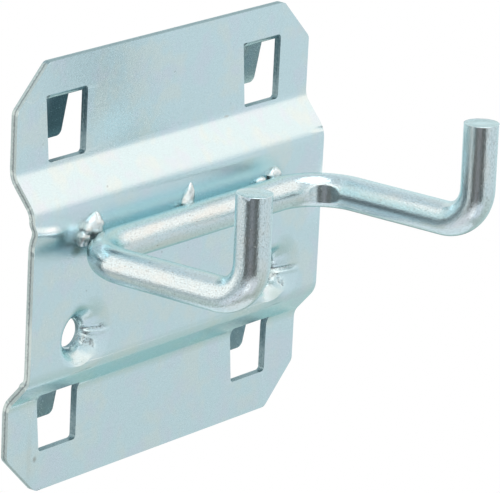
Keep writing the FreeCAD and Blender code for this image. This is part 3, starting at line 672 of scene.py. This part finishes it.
def make_plate():
    """The folded plate: the frame's sheet with broken edges, pressed dimples and creases."""
    mesh = bmesh.new()
    mesh.from_mesh(nodes["back_plate"].data)
    bmesh.ops.remove_doubles(mesh, verts=mesh.verts, dist=1e-6)
    bmesh.ops.dissolve_limit(mesh, angle_limit=FLAT_EDGE, verts=mesh.verts, edges=mesh.edges)
    mesh.normal_update()
    through = mesh.verts.layers.float.new("through")
    mark_through(mesh, through)
    break_edges(mesh, through)
    for part in FINE_PARTS:
        divide_part(mesh, *part)
    shade_and_dark_edge = mesh.verts.layers.float.new("shade_and_dark_edge")
    scuffs_and_crease_shade = mesh.verts.layers.float.new("scuffs_and_crease_shade")
    for vert in mesh.verts:
        place = vert.co / MM
        vert[shade_and_dark_edge] = shade_and_dark_edge_share(place, vert.normal)
        vert[scuffs_and_crease_shade] = scuff_and_crease_shade_share(place)
        if in_dimples(place):
            vert.co.y += (pressed_shape(place.x, place.z) + hole_break(place)) * MM
        if by_ridge(place):
            vert.co.y -= ridge_rise(place.x, place.z) * MM
    mesh.normal_update()
    for face in mesh.faces:
        lug_top = face.calc_center_median().y > 0.2 * MM and abs(face.normal.z) > 0.7
        face.material_index = 1 if abs(face.normal.y) < CUT_FACE and not lug_top else 0
    piece = finish_piece(mesh, "plate_sheet", 38)
    weights = piece.modifiers.new("even_faces", "WEIGHTED_NORMAL")
    weights.keep_sharp = True
    return piece


def arc_points(centre, first, second, start, end):
    """Points of an arc from the angle start to end, where first and second span its plane."""
    count = max(2, round(abs(end - start) / BEND_STEP))
    return [centre + first * math.cos(a) + second * math.sin(a)
            for a in (start + (end - start) * n / count for n in range(1, count + 1))]


def line_points(start, end):
    """Points of a straight line, without its start."""
    count = max(1, round((end - start).length / ROD_STEP))
    return [start.lerp(end, n / count) for n in range(1, count + 1)]


def rod_path():
    """Points along the rod's axis, from the left end over the bar to the right end."""
    half = PRONG_SPACING / 2
    reach = PRONG_REACH - ROD / 2 + BAR_DEPTH
    right = [Vector((half, -reach, TIP_HEIGHT))]
    right += line_points(right[-1], Vector((half, -reach, TIP_BEND)))
    right += arc_points(Vector((half, -reach + TIP_BEND, TIP_BEND)), Vector((0, -TIP_BEND, 0)),
                        Vector((0, 0, -TIP_BEND)), 0, math.pi / 2)
    right += line_points(right[-1], Vector((half, -SIDE_BEND, 0)))
    right += arc_points(Vector((half - SIDE_BEND, -SIDE_BEND, 0)), Vector((SIDE_BEND, 0, 0)),
                        Vector((0, SIDE_BEND, 0)), 0, math.pi / 2)
    left = [Vector((-point.x, point.y, point.z)) for point in right]
    for point in left:
        out = max(0.0, (-point.y - SIDE_BEND / 2) / (reach - SIDE_BEND / 2))
        point.x += LEFT_TOE_IN * out
    path = left + line_points(left[-1], right[-1]) + right[-2::-1]
    return [ROD_TURN @ point + ROD_SHIFT for point in path]


def press_bend(place):
    """Moves a point of the rod out of the round tool that stood in the bend's inner side."""
    local = ROD_TURN.inverted() @ (place - ROD_SHIFT)
    side = -1 if local.x < 0 else 1
    inner = SIDE_BEND - ROD / 2 + TOOL_DEPTH - TOOL_RADIUS
    middle = Vector((PRONG_SPACING / 2 - SIDE_BEND, -SIDE_BEND))
    middle += Vector((math.cos(TOOL_TURN), math.sin(TOOL_TURN))) * inner
    off = Vector((side * local.x, local.y)) - middle
    if off.length > TOOL_RADIUS:
        return place
    off = off.normalized() * TOOL_RADIUS + middle
    return ROD_TURN @ Vector((side * off.x, off.y, local.z)) + ROD_SHIFT


def make_rod():
    """The bent rod: a sweep whose straight_rod attribute is each point's place on the rod
    before it was bent."""
    path = rod_path()
    mesh = bmesh.new()
    unbent = mesh.verts.layers.float_vector.new("straight_rod")
    rings = []
    normal = Vector((1, 0, 0))
    length = 0.0
    last = len(path) - 1
    for n, point in enumerate(path):
        tangent = (path[min(n + 1, last)] - path[max(n - 1, 0)]).normalized()
        normal = (normal - tangent * normal.dot(tangent)).normalized()
        binormal = tangent.cross(normal)
        if n:
            length += (point - path[n - 1]).length
        ring = []
        for side in range(ROD_SIDES):
            angle = math.tau * side / ROD_SIDES
            flat = Vector((math.cos(angle), math.sin(angle))) * ROD / 2
            uneven = ROD_WAVES * noise.noise(Vector((flat.x * 0.5, flat.y * 0.5, length * 0.25)))
            outward = normal * math.cos(angle) + binormal * math.sin(angle)
            vert = mesh.verts.new(press_bend(point + outward * (ROD / 2 + uneven)) * MM)
            vert[unbent] = (flat.x, flat.y, length)
            ring.append(vert)
        rings.append(ring)
    for first, second in zip(rings, rings[1:]):
        for side in range(ROD_SIDES):
            after = (side + 1) % ROD_SIDES
            mesh.faces.new((first[side], first[after], second[after], second[side]))
    for ring, end, inner in ((rings[0], 0, 1), (rings[-1], last, last - 1)):
        close_rod_end(mesh, unbent, ring, path[end], path[end] - path[inner])
    bmesh.ops.recalc_face_normals(mesh, faces=mesh.faces)
    return finish_piece(mesh, "bent_rod", 50)


def close_rod_end(mesh, unbent, ring, centre, outward):
    """The sheared end: a rolled rim with a slight burr towards the front, and an uneven face."""
    outward = outward.normalized()
    slope = random.Random(len(mesh.verts))
    lean = Vector((slope.uniform(-1, 1), slope.uniform(-1, 1), 0)) * END_LEAN
    base = [vert.co / MM - centre for vert in ring]
    previous = ring
    for share, rise in END_RINGS:
        current = []
        for place, vert in zip(base, ring):
            burr = 1 + BURR * max(0.0, -place.normalized().y) * (share > BURR_START)
            bump = END_WAVES * noise.noise(Vector((place.x * 1.7 * share, place.y * 1.7 * share,
                                                   centre.x)))
            lift = rise + bump + place.dot(lean) * share
            added = mesh.verts.new((centre + place * share * burr + outward * lift) * MM)
            added[unbent] = tuple(Vector(vert[unbent]) * share)
            current.append(added)
        for side in range(ROD_SIDES):
            after = (side + 1) % ROD_SIDES
            mesh.faces.new((previous[side], previous[after], current[after], current[side]))
        previous = current
    mesh.faces.new(previous)


def add_drop(mesh, middle, half_width, foot, widest, top, bulge, lean, foot_share, seed):
    """One drop of weld metal on the plate's front that runs up to a point."""
    grid = []
    for row in range(DROP_ROWS + 1):
        share = row / DROP_ROWS
        height = foot - DROP_SKIRT + (top - foot + DROP_SKIRT) * share
        if height < widest:
            rise = (height - foot + DROP_SKIRT) / (widest - foot + DROP_SKIRT)
            size = foot_share + (1 - foot_share) * math.sin(rise * math.pi / 2)
        else:
            size = max(0.0, 1 - ((height - widest) / (top - widest)) ** 1.7) ** 0.75
        line = []
        for column in range(DROP_COLUMNS + 1):
            angle = math.pi * column / DROP_COLUMNS
            knob = noise.noise(Vector((math.cos(angle) * 1.6 + seed, math.sin(angle) * 1.6,
                                       height * 1.1)))
            ridge = noise.noise(Vector((math.cos(angle) * 3 - seed, math.sin(angle) * 3,
                                        height * 2.3)))
            swell = 1 + 0.22 * knob + 0.08 * ridge
            tip = lean * max(0.0, (height - widest) / (top - widest))
            x = middle + tip - math.cos(angle) * half_width * size * swell
            out = math.sin(angle) * (bulge * swell + DROP_SUNK) * size
            y = PLATE_FRONT + DROP_SUNK - out
            line.append(mesh.verts.new(Vector((x, y, height)) * MM))
        grid.append(line)
    for lower, upper in zip(grid, grid[1:]):
        for column in range(DROP_COLUMNS):
            mesh.faces.new((lower[column], lower[column + 1], upper[column + 1], upper[column]))
    mesh.faces.new(grid[0][::-1])
    mesh.faces.new([line[0] for line in grid] + [line[-1] for line in grid[::-1]])


def make_beads():
    """The weld beads and the small runs beside them."""
    mesh = bmesh.new()
    for bead in BEADS + RUNS:
        add_drop(mesh, *bead)
    bmesh.ops.remove_doubles(mesh, verts=mesh.verts, dist=1e-7)
    bmesh.ops.recalc_face_normals(mesh, faces=mesh.faces)
    return finish_piece(mesh, "weld_drops", 35)


# Zinc
def start_metal(name, tint):
    material = bpy.data.materials.new(name)
    material.use_nodes = True
    tree = material.node_tree
    shader = tree.nodes["Principled BSDF"]
    shader.inputs["Metallic"].default_value = 1.0
    shader.inputs["Specular Tint"].default_value = (*tint, 1)
    return material, tree, shader


def object_point(tree):
    """The place on the part in millimetres."""
    place = add_node(tree, "ShaderNodeTexCoord").outputs["Object"]
    return vector_node(tree, "MULTIPLY", place, (1000, 1000, 1000))


def finish_metal(tree, shader, colour, roughness, height, bump):
    tree.links.new(colour, shader.inputs["Base Color"])
    tree.links.new(roughness, shader.inputs["Roughness"])
    normal = add_node(tree, "ShaderNodeBump", {"Height": height, "Strength": bump,
                                               "Distance": 0.05 * MM})
    tree.links.new(normal.outputs["Normal"], shader.inputs["Normal"])


def make_sheet_zinc(groups):
    """Pale blue passivated zinc on rolled sheet, with stains and painted light and shade."""
    material, tree, shader = start_metal("sheet_zinc", (0.85, 1.0, 1.0))
    point = object_point(tree)
    grain = use_group(tree, groups["grain"], point=point, size=0.22)["Grain"]
    drawn = use_group(tree, groups["grain"], point=point, size=0.35, stretch=(1, 1, 7))["Grain"]
    blotches = use_group(tree, groups["blotches"], point=point, size=4.5)
    specks = use_group(tree, groups["specks"], point=point, spacing=1.3, share=0.05,
                       radius=0.13)["Specks"]
    scratches = use_group(tree, groups["scratches"], point=point, spacing=2.6,
                          share=0.12)["Scratches"]
    shade_and_dark_edge = attribute(tree, "shade_and_dark_edge")
    scuffs_and_crease_shade = attribute(tree, "scuffs_and_crease_shade")
    fleck = use_group(tree, groups["grain"], point=point, size=0.13)["Grain"]
    place = add_node(tree, "ShaderNodeSeparateXYZ", {0: point}).outputs
    # Painted shade: a cyan band on the plate's front along the bar, where the bar lies against the
    # plate
    inside = remap(tree, math_node(tree, "ABSOLUTE", place["X"]), 14, 19, 1, 0)
    painted_shade_band = math_node(tree, "MULTIPLY", remap(tree, place["Z"], 0.8, 2.0),
                     remap(tree, place["Z"], 3.6, 5.6, 1, 0))
    painted_shade_band = math_node(tree, "MULTIPLY", painted_shade_band, inside)
    painted_shade_band = math_node(tree, "MULTIPLY", painted_shade_band, remap(tree, place["Y"], -4.1, -3.7, 1, 0))
    # Painted shade on the upper left lug, behind the plate's front
    front = remap(tree, place["Y"], 0.1, 0.5, 1, 0)
    hidden = math_node(tree, "MULTIPLY", shade_and_dark_edge, math_node(tree, "SUBTRACT", 1.0, front))
    colour = mix_colours(tree, math_node(tree, "MULTIPLY", blotches["Warm"], 0.75),
                         (0.605, 0.742, 0.775), (0.668, 0.742, 0.725))
    colour = lay_over(tree, colour, blotches["Cold"], 0.65, (0.645, 0.705, 0.775))
    # Stains, and patches of painted light and shade
    for centre, radii, strength, patch_colour in STAINS_AND_PAINTED_LIGHT:
        patch = use_group(tree, groups["patch"], point=point, centre=centre, radii=radii)["Mask"]
        colour = lay_over(tree, colour, patch, strength, patch_colour)
    colour = mix_colours(tree, remap(tree, fleck, 0.3, 0.9, 0.0, 0.3), colour,
                         (0.42, 0.52, 0.55))
    # Painted shade along the bar
    colour = lay_over(tree, colour, painted_shade_band, 0.6, (0.38, 0.66, 0.75))
    # Painted shade on the upper left lug
    colour = lay_over(tree, colour, hidden, 0.93, (0.14, 0.24, 0.28))
    # Darker speckled zinc in scuffed spots, and painted shade along the grooves of the creases
    dark_scuffs_and_crease_shade = remap(tree, use_group(tree, groups["grain"], point=point, size=0.25)["Grain"],
                   0.3, 0.75, 0.25, 0.9)
    dark_scuffs_and_crease_shade = math_node(tree, "MULTIPLY", dark_scuffs_and_crease_shade, remap(tree, scuffs_and_crease_shade, 0.1, 0.9))
    colour = mix_colours(tree, dark_scuffs_and_crease_shade, colour, (0.22, 0.25, 0.26))
    colour = lay_over(tree, colour, specks, 0.45, (0.33, 0.36, 0.36))
    colour = lay_over(tree, colour, scratches, 0.3, (0.86, 0.90, 0.91))
    roughness = remap(tree, grain, 0, 1, 0.18, 0.28, kind="LINEAR")
    height = math_node(tree, "MULTIPLY_ADD", drawn, 0.6, grain)
    height = math_node(tree, "SUBTRACT", height, math_node(tree, "MULTIPLY", specks, 2.0))
    finish_metal(tree, shader, colour, roughness, height, 0.10)
    return material


def make_cut_zinc(groups):
    """Zinc on the sheared edges, with the darker break line in mid-thickness, and painted shade in
    the holes, windows and on the upper left lug.
    """
    material, tree, shader = start_metal("cut_edge_zinc", (0.9, 1.0, 1.0))
    point = object_point(tree)
    grain = use_group(tree, groups["grain"], point=point, size=0.3)["Grain"]
    through = attribute(tree, "through")
    wander = math_node(tree, "MULTIPLY_ADD", grain, 0.16, math_node(tree, "SUBTRACT", through, 0.58))
    line = remap(tree, math_node(tree, "ABSOLUTE", wander), 0.05, 0.15, 1.0, 0.0)
    shade_and_dark_edge = attribute(tree, "shade_and_dark_edge")
    colour = mix_colours(tree, grain, (0.40, 0.49, 0.49), (0.53, 0.60, 0.59))
    colour = lay_over(tree, colour, line, 0.75, (0.17, 0.19, 0.20))
    # Painted shade on the cut faces in the holes and windows and on the upper left lug, and a darker
    # top edge
    colour = mix_colours(tree, math_node(tree, "MULTIPLY", shade_and_dark_edge, 0.9), colour,
                         mix_colours(tree, grain, (0.14, 0.23, 0.26), (0.32, 0.43, 0.46)))
    roughness = remap(tree, grain, 0, 1, 0.30, 0.50, kind="LINEAR")
    height = math_node(tree, "SUBTRACT", grain, math_node(tree, "MULTIPLY", line, 1.2))
    finish_metal(tree, shader, colour, roughness, height, 0.35)
    return material


def make_rod_zinc(groups):
    """Zinc over drawn wire: marks along the rod, dark specks between them."""
    material, tree, shader = start_metal("rod_zinc", (0.85, 1.0, 1.0))
    point = attribute(tree, "straight_rod", "Vector")
    drawn = use_group(tree, groups["grain"], point=point, size=0.16,
                      stretch=(1, 1, 3))["Grain"]
    fine = use_group(tree, groups["grain"], point=point, size=0.2)["Grain"]
    specks = use_group(tree, groups["specks"], point=point, spacing=0.45, share=0.2,
                       radius=0.22, stretch=(1, 1, 1.6))["Specks"]
    blotches = use_group(tree, groups["blotches"], point=point, size=2.2, stretch=(1, 1, 3))
    colour = mix_colours(tree, drawn, (0.55, 0.65, 0.68), (0.69, 0.78, 0.80))
    colour = mix_colours(tree, remap(tree, fine, 0.5, 0.9, 0, 0.5), colour, (0.38, 0.40, 0.39))
    colour = lay_over(tree, colour, blotches["Warm"], 0.4, (0.68, 0.67, 0.63))
    colour = lay_over(tree, colour, specks, 0.7, (0.30, 0.27, 0.23))
    roughness = remap(tree, fine, 0, 1, 0.08, 0.17, kind="LINEAR")
    height = math_node(tree, "MULTIPLY_ADD", fine, 0.5, drawn)
    height = math_node(tree, "SUBTRACT", height, math_node(tree, "MULTIPLY", specks, 1.0))
    finish_metal(tree, shader, colour, roughness, height, 0.20)
    return material


def make_weld_zinc(groups):
    """Zinc over weld metal: bright, smooth and a little stained."""
    material, tree, shader = start_metal("weld_zinc", (0.9, 1.0, 1.0))
    point = object_point(tree)
    grain = use_group(tree, groups["grain"], point=point, size=0.25)["Grain"]
    blotches = use_group(tree, groups["blotches"], point=point, size=0.9)
    colour = mix_colours(tree, blotches["Warm"], (0.62, 0.68, 0.69), (0.50, 0.53, 0.52))
    roughness = remap(tree, grain, 0, 1, 0.28, 0.42, kind="LINEAR")
    finish_metal(tree, shader, colour, roughness, grain, 0.2)
    return material


set_camera()
set_world()
add_floor()
add_lamp()

groups = {"grain": make_grain(), "blotches": make_blotches(), "specks": make_specks(),
          "patch": make_patch(), "scratches": make_scratches()}
sheet_zinc, cut_zinc = make_sheet_zinc(groups), make_cut_zinc(groups)
for piece, node, slot, materials in (
        (make_plate(), "back_plate", "sheet_steel", (sheet_zinc, cut_zinc)),
        (make_rod(), "hook_rod", "rod_steel", (make_rod_zinc(groups),)),
        (make_beads(), "weld_beads", "weld_steel", (make_weld_zinc(groups),))):
    for material in materials:
        piece.data.materials.append(material)
    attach(piece, "root")
    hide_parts(node)

bpy.context.scene.view_settings.view_transform = "Standard"
